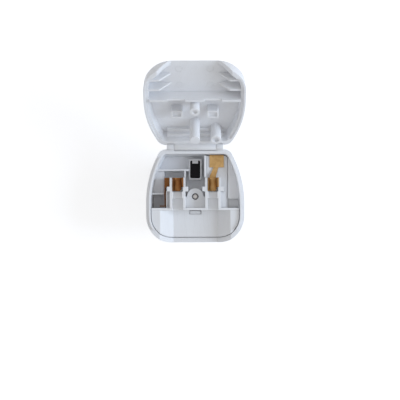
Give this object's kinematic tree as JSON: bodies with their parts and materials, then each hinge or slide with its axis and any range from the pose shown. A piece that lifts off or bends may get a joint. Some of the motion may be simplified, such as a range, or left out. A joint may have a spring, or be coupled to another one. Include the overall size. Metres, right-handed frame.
{
  "type": "plug adapter",
  "caption": "White converter plug shown open: a hinged lid over a three-pin base with brass spring clips, a trough for a flat two-pin plug, a plastic earth pin and a pull-out fuse drawer.",
  "frame": {"origin": "on the pin face that meets the wall socket, midway between the line and neutral pins", "axes": "-Z along the pins into the socket, +Y from the line and neutral pins to the earth pin and the hinge, +X to the line pin"},
  "size_m": [0.0494, 0.0877, 0.0691],
  "materials": {
    "white_shell": "satin",
    "white_insert": "satin",
    "black_plastic": "satin",
    "black_sleeve": "matt",
    "pin_brass": "turned",
    "contact_brass": "rolled strip",
    "zinc_steel": "zinc plated",
    "drawer_plastic": "satin",
    "fuse_ceramic": "unglazed",
    "nickel_cap": "plated"
  },
  "bodies": {
    "base": {"base_shell": "white_shell", "contact_carrier": "white_insert", "earth_pin": "black_plastic", "neutral_pin": "pin_brass", "line_pin": "pin_brass", "neutral_pin_sleeve": "black_sleeve", "line_pin_sleeve": "black_sleeve", "neutral_contact": "contact_brass", "line_contact": "contact_brass", "fuse_clip": "contact_brass", "cover_screw": "zinc_steel", "hinge_pin": "zinc_steel"},
    "lid": {"lid": "white_shell"},
    "fuse_drawer": {"fuse_carrier": "drawer_plastic", "fuse_barrel": "fuse_ceramic", "fuse_cap_upper": "nickel_cap", "fuse_cap_lower": "nickel_cap"}
  },
  "joints": [
    {"name": "lid_hinge", "type": "hinge", "parent": "base", "child": "lid", "pos_m": [0, 0.0332, 0.014], "axis": [1, 0, 0], "range_deg": [0, 136]},
    {"name": "fuse_drawer_slide", "type": "slide", "parent": "base", "child": "fuse_drawer", "axis": [0, 0, -1], "range_m": [0, 0.009]}
  ]
}
